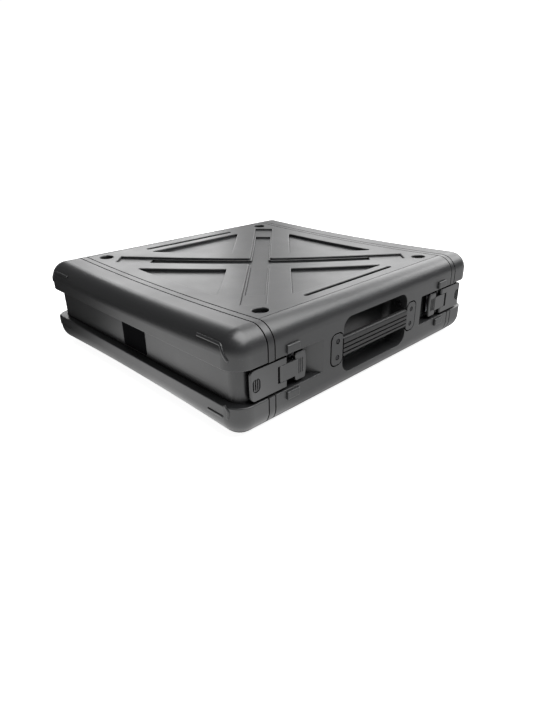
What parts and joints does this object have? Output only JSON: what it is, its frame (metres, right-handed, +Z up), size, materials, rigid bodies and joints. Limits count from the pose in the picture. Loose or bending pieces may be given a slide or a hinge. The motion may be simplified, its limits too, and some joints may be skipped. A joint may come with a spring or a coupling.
{
  "type": "rack case",
  "caption": "Moulded rack case with pull-off end lids held by draw latches, rubber side handles, stacking feet and inner rack rails.",
  "frame": {"origin": "middle of the case at the height of the soles of its feet", "axes": "+Z up, -Y towards the front lid, +Y towards the rear lid, +X towards the right handle"},
  "size_m": [0.588, 0.63, 0.166],
  "materials": {
    "shell_plastic": "satin moulded plastic",
    "rim_plastic": "satin moulded plastic",
    "latch_plastic": "satin moulded plastic",
    "end_plate_plastic": "textured moulded plastic",
    "grip_rubber": "matt",
    "seal_rubber": "matt",
    "foot_rubber": "matt",
    "black_steel": "black powder coat",
    "bright_steel": "zinc plated",
    "black_screws": "black oxide",
    "plate_black": "matt"
  },
  "bodies": {
    "case": {"body_shell": "shell_plastic", "left_handle_grip": "grip_rubber", "right_handle_grip": "grip_rubber", "left_handle_strap": "black_steel", "right_handle_strap": "black_steel", "left_handle_screws": "black_screws", "right_handle_screws": "black_screws", "left_well_bolts": "black_screws", "right_well_bolts": "black_screws", "latch_rivets": "bright_steel", "rail_screws": "black_screws", "front_right_handle_end_plate": "end_plate_plastic", "front_right_handle_backing_bracket": "black_steel", "front_right_latch_bracket": "bright_steel", "front_right_latch_pivot_pin": "bright_steel", "front_right_rack_rail": "black_steel", "front_right_foot": "foot_rubber", "front_left_handle_end_plate": "end_plate_plastic", "front_left_handle_backing_bracket": "black_steel", "front_left_latch_bracket": "bright_steel", "front_left_latch_pivot_pin": "bright_steel", "front_left_rack_rail": "black_steel", "front_left_foot": "foot_rubber", "rear_right_handle_end_plate": "end_plate_plastic", "rear_right_handle_backing_bracket": "black_steel", "rear_right_latch_bracket": "bright_steel", "rear_right_latch_pivot_pin": "bright_steel", "rear_right_rack_rail": "black_steel", "rear_right_foot": "foot_rubber", "rear_left_handle_end_plate": "end_plate_plastic", "rear_left_handle_backing_bracket": "black_steel", "rear_left_latch_bracket": "bright_steel", "rear_left_latch_pivot_pin": "bright_steel", "rear_left_rack_rail": "black_steel", "rear_left_foot": "foot_rubber"},
    "front_lid": {"front_lid_shell": "shell_plastic", "front_lid_rim": "rim_plastic", "front_gasket": "seal_rubber", "label_plate": "plate_black"},
    "rear_lid": {"rear_lid_shell": "shell_plastic", "rear_lid_rim": "rim_plastic", "rear_gasket": "seal_rubber"},
    "front_right_lever": {"front_right_latch_lever": "latch_plastic", "front_right_latch_link_pin": "bright_steel"},
    "front_right_link": {"front_right_latch_link": "latch_plastic"},
    "front_left_lever": {"front_left_latch_lever": "latch_plastic", "front_left_latch_link_pin": "bright_steel"},
    "front_left_link": {"front_left_latch_link": "latch_plastic"},
    "rear_right_lever": {"rear_right_latch_lever": "latch_plastic", "rear_right_latch_link_pin": "bright_steel"},
    "rear_right_link": {"rear_right_latch_link": "latch_plastic"},
    "rear_left_lever": {"rear_left_latch_lever": "latch_plastic", "rear_left_latch_link_pin": "bright_steel"},
    "rear_left_link": {"rear_left_latch_link": "latch_plastic"}
  },
  "joints": [
    {"name": "front_lid_pull", "type": "slide", "parent": "case", "child": "front_lid", "axis": [0, -1, 0], "range_m": [0, 0.12]},
    {"name": "rear_lid_pull", "type": "slide", "parent": "case", "child": "rear_lid", "axis": [0, 1, 0], "range_m": [0, 0.12]},
    {"name": "front_right_lever_hinge", "type": "hinge", "parent": "case", "child": "front_right_lever", "pos_m": [0.28, -0.2255, 0.085], "axis": [0, 0, -1], "range_deg": [0, 96]},
    {"name": "front_right_link_hinge", "type": "hinge", "parent": "front_right_lever", "child": "front_right_link", "pos_m": [0.2775, -0.2135, 0.085], "axis": [0, 0, 1], "range_deg": [0, 110]},
    {"name": "front_left_lever_hinge", "type": "hinge", "parent": "case", "child": "front_left_lever", "pos_m": [-0.28, -0.2255, 0.085], "axis": [0, 0, 1], "range_deg": [0, 96]},
    {"name": "front_left_link_hinge", "type": "hinge", "parent": "front_left_lever", "child": "front_left_link", "pos_m": [-0.2775, -0.2135, 0.085], "axis": [0, 0, -1], "range_deg": [0, 110]},
    {"name": "rear_right_lever_hinge", "type": "hinge", "parent": "case", "child": "rear_right_lever", "pos_m": [0.28, 0.2255, 0.085], "axis": [0, 0, 1], "range_deg": [0, 96]},
    {"name": "rear_right_link_hinge", "type": "hinge", "parent": "rear_right_lever", "child": "rear_right_link", "pos_m": [0.2775, 0.2135, 0.085], "axis": [0, 0, -1], "range_deg": [0, 110]},
    {"name": "rear_left_lever_hinge", "type": "hinge", "parent": "case", "child": "rear_left_lever", "pos_m": [-0.28, 0.2255, 0.085], "axis": [0, 0, -1], "range_deg": [0, 96]},
    {"name": "rear_left_link_hinge", "type": "hinge", "parent": "rear_left_lever", "child": "rear_left_link", "pos_m": [-0.2775, 0.2135, 0.085], "axis": [0, 0, 1], "range_deg": [0, 110]}
  ],
  "couplings": [
    {"joint": "front_right_link_hinge", "follows": "front_right_lever_hinge", "ratio": 1.145},
    {"joint": "front_left_link_hinge", "follows": "front_left_lever_hinge", "ratio": 1.145},
    {"joint": "rear_right_link_hinge", "follows": "rear_right_lever_hinge", "ratio": 1.145},
    {"joint": "rear_left_link_hinge", "follows": "rear_left_lever_hinge", "ratio": 1.145}
  ]
}
